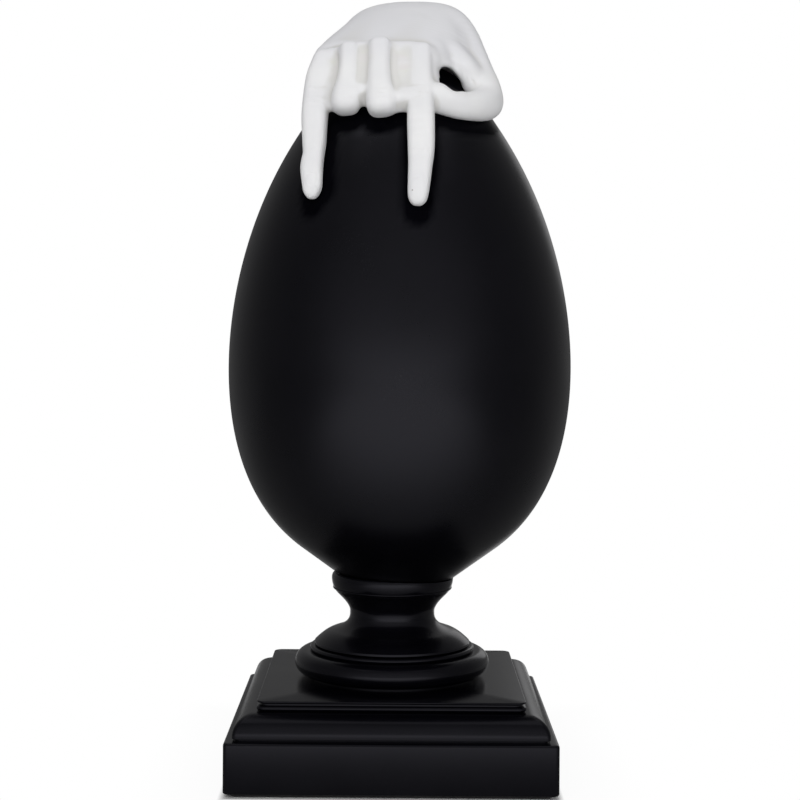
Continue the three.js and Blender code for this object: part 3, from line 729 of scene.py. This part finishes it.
def make_hand(clay, crevice_shading):
    points, quads = clay.skin()
    hand = mesh_object("hand_dressed", points + CROWN, quads, HAND_SHARP)
    # Painted shade in the crevices
    paint(hand, "crevice_shade", np.clip(-clay.sample(crevice_shading, points) / CREVICE_DEPTH, -1, 1))
    paint(hand, "stain", stains(points))
    # Painted shade on the back of the hand, growing with height
    paint(hand, "upper", np.clip((points[:, 2] - BACK_SHADE_START) / BACK_SHADE_BLEND, 0, 1))
    return hand


def stains(points):
    """How stained the valleys between the fingers are, from 0 to 1."""
    amount = np.zeros(len(points))
    for x, z, wide, tall in STAINS:
        near = ((points[:, 0] - x) / wide) ** 2 + ((points[:, 2] - z) / tall) ** 2
        amount = np.maximum(amount, np.exp(-near) * (points[:, 1] < STAIN_FRONT))
    return amount


# Materials


class Tree:
    """The node tree of a material or a world under construction."""

    def __init__(self, owner):
        owner.use_nodes = True
        self.nodes, self.links = owner.node_tree.nodes, owner.node_tree.links

    def add(self, kind, inputs=None, **settings):
        node = self.nodes.new(kind)
        for key, value in settings.items():
            setattr(node, key, value)
        for key, value in (inputs or {}).items():
            if isinstance(value, bpy.types.NodeSocket):
                self.links.new(value, node.inputs[key])
            else:
                node.inputs[key].default_value = value
        return node

    def spread(self, value, low, high, to_low, to_high, kind="LINEAR"):
        """A value mapped from one range to another and clamped."""
        inputs = {"Value": value, "From Min": low, "From Max": high, "To Min": to_low, "To Max": to_high}
        return self.add("ShaderNodeMapRange", inputs, interpolation_type=kind).outputs["Result"]

    def mixed(self, share, a, b):
        """Two colours mixed by a share."""
        node = self.add("ShaderNodeMix", data_type="RGBA")
        for socket, value in ((0, share), (6, a), (7, b)):
            if isinstance(value, bpy.types.NodeSocket):
                self.links.new(value, node.inputs[socket])
            else:
                node.inputs[socket].default_value = value if socket == 0 else (*value, 1)
        return node.outputs[2]

    def combined(self, a, b, kind="ADD"):
        return self.add("ShaderNodeMath", {0: a, 1: b}, operation=kind).outputs[0]


class Finish(Tree):
    """A material of one principled shader under construction."""

    def __init__(self, name):
        self.material = bpy.data.materials.new(name)
        super().__init__(self.material)
        self.shader = self.nodes["Principled BSDF"]
        self.place = self.add("ShaderNodeTexCoord").outputs["Object"]

    def noise(self, scale, detail=2.0, roughness=0.5, place=None):
        inputs = {"Vector": place or self.place, "Scale": scale, "Detail": detail, "Roughness": roughness}
        return self.add("ShaderNodeTexNoise", inputs).outputs["Fac"]

    def bump(self, height, strength, distance, below=None):
        inputs = {"Height": height, "Strength": strength, "Distance": distance * MM}
        if below is not None:
            inputs["Normal"] = below
        return self.add("ShaderNodeBump", inputs).outputs["Normal"]

    def put(self, **inputs):
        for key, value in inputs.items():
            socket = self.shader.inputs[key.replace("_", " ")]
            if isinstance(value, bpy.types.NodeSocket):
                self.links.new(value, socket)
            else:
                socket.default_value = value
        return self.material


def black_resin(name, low, high, shaded=False):
    """A resin from roughness low to high; on a shaded object its painted shade lowers the shine."""
    f = Finish(name)
    drift = f.noise(22, 3)
    orange_peel = f.noise(330, 2, 0.4)
    grain = f.noise(1500, 2)
    specks = f.add("ShaderNodeTexVoronoi", {"Vector": f.place, "Scale": 260.0}).outputs["Distance"]
    dust = f.spread(specks, 0.05, 0.16, 1.0, 0.0)
    rare = f.spread(f.noise(70, 1), 0.55, 0.7, 0.0, 0.5)
    colour = f.mixed(f.spread(drift, 0.3, 0.7, 0, 1), (0.0006, 0.0006, 0.0014), (0.0014, 0.0013, 0.0024))
    colour = f.mixed(f.combined(dust, rare, "MULTIPLY"), colour, (0.012, 0.012, 0.013))
    shine = 0.5
    # Painted shade: the shine falls where the egg's points hold the hand's shade
    if shaded:
        shade = f.add("ShaderNodeAttribute", attribute_name="shade").outputs["Fac"]
        shine = f.spread(shade, 0.0, 0.9, shine, 0.02)
    rough = f.combined(f.spread(drift, 0.3, 0.7, low, high), f.spread(grain, 0.3, 0.7, 0.0, 0.04))
    normal = f.bump(orange_peel, 0.25, 0.03)
    normal = f.bump(grain, 0.2, 0.015, normal)
    f.put(Base_Color=colour, Roughness=rough, Normal=normal, Specular_IOR_Level=shine)
    return f.put(Specular_Tint=(0.88, 0.87, 1.0, 1))


def white_resin():
    f = Finish("matt white cast resin")
    crevice_shade = f.add("ShaderNodeAttribute", attribute_name="crevice_shade").outputs["Fac"]
    stain = f.add("ShaderNodeAttribute", attribute_name="stain").outputs["Fac"]
    drift = f.noise(45, 4)
    grain = f.noise(900, 3)
    ripples = f.noise(210, 3)
    colour = f.mixed(f.spread(drift, 0.3, 0.7, 0, 1), (0.80, 0.80, 0.815), (0.845, 0.845, 0.85))
    # Painted shade on the back of the hand: its upper part bluer and darker
    upper = f.add("ShaderNodeAttribute", attribute_name="upper").outputs["Fac"]
    colour = f.mixed(f.combined(upper, 0.8, "MULTIPLY"), colour, (0.785, 0.785, 0.815))
    # Painted shade in the crevices: a darker, warm grey where the skin is hollow
    colour = f.mixed(f.spread(crevice_shade, 0.10, 0.85, 0, 0.6), colour, (0.63, 0.62, 0.59))
    blotches = f.spread(f.noise(150, 3), 0.35, 0.65, 0.2, 0.85)
    warm = f.mixed(f.spread(f.noise(90, 1), 0.42, 0.58, 0, 1), (0.73, 0.73, 0.685), (0.745, 0.72, 0.715))
    colour = f.mixed(f.combined(stain, blotches, "MULTIPLY"), colour, warm)
    cells = f.add("ShaderNodeTexVoronoi", {"Vector": f.place, "Scale": 105.0})
    hole = f.spread(cells.outputs["Distance"], 0.035, 0.075, 1.0, 0.0)
    tint = f.add("ShaderNodeSeparateColor", {"Color": cells.outputs["Color"]}).outputs["Red"]
    hole = f.combined(hole, f.spread(tint, 0.90, 0.92, 0.0, 1.0), "MULTIPLY")
    colour = f.mixed(hole, colour, (0.30, 0.28, 0.25))
    rough = f.spread(f.combined(grain, drift), 0.7, 1.3, 0.50, 0.64)
    normal = f.bump(ripples, 0.30, 0.10)
    normal = f.bump(grain, 0.25, 0.03, normal)
    normal = f.bump(f.combined(hole, -1.0, "MULTIPLY"), 0.6, 0.25, normal)
    return f.put(Base_Color=colour, Roughness=rough, Normal=normal, Specular_IOR_Level=0.35)


def felt_cloth():
    f = Finish("black felt")
    fibres = f.noise(1400, 4, 0.7)
    clumps = f.noise(240, 3)
    colour = f.mixed(f.spread(clumps, 0.3, 0.7, 0, 1), (0.006, 0.006, 0.007), (0.018, 0.017, 0.018))
    colour = f.mixed(f.spread(fibres, 0.55, 0.75, 0, 0.6), colour, (0.04, 0.04, 0.042))
    normal = f.bump(fibres, 0.8, 0.2)
    return f.put(Base_Color=colour, Roughness=0.95, Normal=normal, Sheen_Weight=0.3, Sheen_Roughness=0.6)


def machined(name, dark, light, low, high):
    """A turned metal with fine rings round an upright axis."""
    f = Finish(name)
    drift = f.noise(160, 3)
    stretched = f.add("ShaderNodeMapping", {"Vector": f.place, "Scale": (60, 60, 5200)}).outputs["Vector"]
    rings = f.noise(1.0, 2, 0.5, stretched)
    colour = f.mixed(f.spread(drift, 0.3, 0.7, 0, 1), dark, light)
    rough = f.combined(f.spread(drift, 0.3, 0.7, low, high), f.spread(rings, 0.3, 0.7, 0, 0.08))
    normal = f.bump(rings, 0.3, 0.02)
    return f.put(Base_Color=colour, Roughness=rough, Normal=normal, Metallic=1.0)


# Assembly

BLACK = black_resin("satin black resin", 0.26, 0.31, shaded=True)
STAND = black_resin("black stand resin", 0.18, 0.22)
WHITE, FELT = white_resin(), felt_cloth()
STEEL = machined("brushed steel", (0.42, 0.43, 0.45), (0.56, 0.57, 0.59), 0.28, 0.38)
BRASS = machined("turned brass", (0.52, 0.34, 0.12), (0.68, 0.47, 0.19), 0.26, 0.36)


def dress(obj, node, material):
    obj.data.materials.clear()
    obj.data.materials.append(material)
    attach(obj, "root")
    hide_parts(node)


dress(make_felt(), "felt_base", FELT)
dress(make_plinth(), "plinth", STAND)
dress(make_stem(), "stem", STAND)
clay, crevice_shading = sculpt_hand(CELL)
dress(make_egg(clay), "egg", BLACK)
dress(make_hand(clay, crevice_shading), "hand", WHITE)

fixings = {name: STEEL for name in ("tie_rod", "clamp_washer", "lock_washer", "clamp_nut")}
fixings |= {"hand_dowel_1": STEEL, "hand_dowel_2": STEEL, "foot_insert": BRASS}
for name, material in fixings.items():
    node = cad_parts[name]
    node.data.materials.clear()
    node.data.materials.append(material)


# Floor, light and camera

FLOOR_HALF = 4000
# How far from the middle the camera sees the floor white: from, nearly, and wholly, in metres
CLEAR_FROM, CLEAR_NEARLY, CLEAR_WHOLLY = 0.0945, 0.098, 0.15
# Painted pools of light, glowing on the floor for mirrored rays only: place and radii in metres, and level
GLOW_POOLS = [((0, -2.0), (1.15, 1.85), 0.62), ((0.0, 0.8), (0.3, 0.6), 0.42), ((0.12, 0.5), (0.08, 0.24), 0.75)]
# The room that the object mirrors: its levels in front and at the sides, and more behind and low in front
ROOM_FRONT, ROOM_SIDE, ROOM_BACK, LOW_FRONT = 0.28, 0.10, 0.05, 0.48
# A pale card behind, by direction and level, and the room's level in rays that aren't mirrored
CARD, CARD_LEVEL, ROOM_FILL = (0.31, 0.92, 0.24), 0.5, 0.27
# Lamps: name, place, aim, size in metres, watts, and whether the object mirrors it
LAMPS = [
    ("key", (-0.7, -1.6, 1.2), (0, 0, 0.3), (0.8, 0.8), 10.8, False),
    ("fill", (0.8, -1.7, 0.5), (0, 0, 0.3), (1.6, 1.2), 13.2, False),
    ("top", (0, 0.1, 1.9), (0, 0, 0.2), (2.4, 2.4), 8, False),
    ("ceiling", (0, 0.1, 1.1), (0, 0.1, 0.2), (1.0, 1.0), 0.6, True),
]
CAMERA_PLACE, CAMERA_LENS, CAMERA_SENSOR = (0, -1.062, 0.274), 77.4, 36
CAMERA_ROLL, CAMERA_SHIFT = -0.4, (0.0071, -0.1088)


def white_floor():
    """A pale floor that the camera sees white, but for the object's shadow close to the plinth.

    In reflections the floor is dim close by and at the sides, and painted glowing pools make it pale in
    front and behind.
    """
    f = Finish("studio floor")
    grain = f.noise(40, 3)
    # Painted shade in reflections: mirrored rays see the floor dim, all other rays see it pale
    dim = f.mixed(f.spread(grain, 0.3, 0.7, 0, 1), (0.15, 0.15, 0.15), (0.18, 0.18, 0.18))
    pale = f.mixed(f.spread(grain, 0.3, 0.7, 0, 1), (0.84, 0.84, 0.84), (0.88, 0.88, 0.88))
    path = f.add("ShaderNodeLightPath").outputs
    f.put(Base_Color=f.mixed(path["Is Glossy Ray"], pale, dim), Roughness=0.9, Specular_IOR_Level=0.1)
    # Painted reflections: glowing pools that only mirrored rays see
    reflected_glow = f.spread(f.add("ShaderNodeSeparateXYZ", {0: f.place}).outputs["Y"], 0.1, 0.7, 0.0, 0.08)
    for place, radius, level in GLOW_POOLS:
        scale = (1 / radius[0], 1 / radius[1], 1)
        shift = (-place[0] * scale[0], -place[1] * scale[1], 0)
        pool = f.add("ShaderNodeMapping", {"Vector": f.place, "Location": shift, "Scale": scale})
        away = f.add("ShaderNodeVectorMath", {0: pool.outputs["Vector"]}, operation="LENGTH")
        pool_glow = f.spread(away.outputs["Value"], 0.8, 1.07, level, 0.0, "SMOOTHSTEP")
        reflected_glow = f.combined(reflected_glow, pool_glow, "MAXIMUM")
    sizes = f.add("ShaderNodeVectorMath", {0: f.place}, operation="ABSOLUTE").outputs["Vector"]
    reach = f.add("ShaderNodeSeparateXYZ", {0: sizes}).outputs
    reach = f.combined(reach["X"], reach["Y"], "MAXIMUM")
    nearly = f.spread(reach, CLEAR_FROM, CLEAR_NEARLY, 0.0, 0.95)
    clear = f.combined(nearly, f.spread(reach, CLEAR_NEARLY, CLEAR_WHOLLY, 0.0, 0.05))
    seen = f.combined(path["Is Camera Ray"], clear, "MULTIPLY")
    glowing = f.combined(seen, f.combined(path["Is Glossy Ray"], reflected_glow, "MULTIPLY"), "MAXIMUM")
    glow = f.add("ShaderNodeEmission", {"Color": (1, 1, 1, 1), "Strength": 1.0})
    mix = f.add("ShaderNodeMixShader", {0: glowing, 1: f.shader.outputs[0], 2: glow.outputs[0]})
    f.links.new(mix.outputs[0], f.nodes["Material Output"].inputs["Surface"])
    return f.material


def white_world():
    """A world that is white to the camera and through glass, and a dimmer room to all other rays."""
    world = bpy.data.worlds.new("studio")
    tree = Tree(world)
    path = tree.add("ShaderNodeLightPath").outputs
    direction = tree.add("ShaderNodeTexCoord").outputs["Generated"]
    towards = tree.add("ShaderNodeSeparateXYZ", {0: direction}).outputs
    front = tree.spread(towards["Y"], -1.05, -0.2, ROOM_FRONT, ROOM_SIDE, "SMOOTHSTEP")
    behind = tree.spread(towards["Y"], 0.2, 0.9, 0.0, ROOM_BACK, "SMOOTHSTEP")
    low = tree.spread(towards["Z"], 0.02, 0.16, 1.0, 0.0, "SMOOTHSTEP")
    low_front = tree.spread(towards["Y"], -0.95, -0.55, LOW_FRONT, 0.0, "SMOOTHSTEP")
    to_card = tree.add("ShaderNodeVectorMath", {0: direction, 1: CARD}, operation="DOT_PRODUCT")
    card = tree.spread(to_card.outputs["Value"], 0.975, 0.99, 0.0, CARD_LEVEL, "SMOOTHSTEP")
    room = tree.combined(front, behind)
    room = tree.combined(room, tree.combined(low, low_front, "MULTIPLY"))
    room = tree.combined(room, card)
    dim = tree.add("ShaderNodeMix", {0: path["Is Glossy Ray"], 2: ROOM_FILL, 3: room}).outputs[0]
    shown = tree.combined(path["Is Camera Ray"], path["Is Transmission Ray"], "MAXIMUM")
    bright = tree.add("ShaderNodeMix", {0: shown, 2: dim, 3: 1.0}).outputs[0]
    back = tree.nodes["Background"]
    back.inputs["Color"].default_value = (1, 1, 1, 1)
    tree.links.new(bright, back.inputs["Strength"])
    return world


def lamp(name, place, aim, size, power, glossy):
    light = bpy.data.lights.new(name, "AREA")
    light.shape = "RECTANGLE"
    light.size, light.size_y = size
    light.energy = power
    obj = bpy.data.objects.new(name, light)
    bpy.context.scene.collection.objects.link(obj)
    obj.location = place
    away = np.array(place, float) - np.array(aim, float)
    tilt = math.atan2(math.hypot(away[0], away[1]), away[2])
    obj.rotation_euler = (tilt, 0, math.atan2(away[0], -away[1]))
    obj.visible_glossy = glossy


corners = [(x * FLOOR_HALF, y * FLOOR_HALF, 0.0) for x, y in ((-1, -1), (1, -1), (1, 1), (-1, 1))]
floor = mesh_object("floor", corners, [(0, 1, 2, 3)])
floor.data.materials.append(white_floor())
bpy.context.scene.world = white_world()
for settings in LAMPS:
    lamp(*settings)

camera = bpy.data.objects.new("camera", bpy.data.cameras.new("camera"))
bpy.context.scene.collection.objects.link(camera)
camera.location = CAMERA_PLACE
camera.rotation_euler = (math.radians(90), math.radians(CAMERA_ROLL), 0)
camera.data.lens = CAMERA_LENS
camera.data.sensor_width = CAMERA_SENSOR
camera.data.shift_x, camera.data.shift_y = CAMERA_SHIFT
bpy.context.scene.camera = camera
bpy.context.scene.view_settings.view_transform = "Standard"
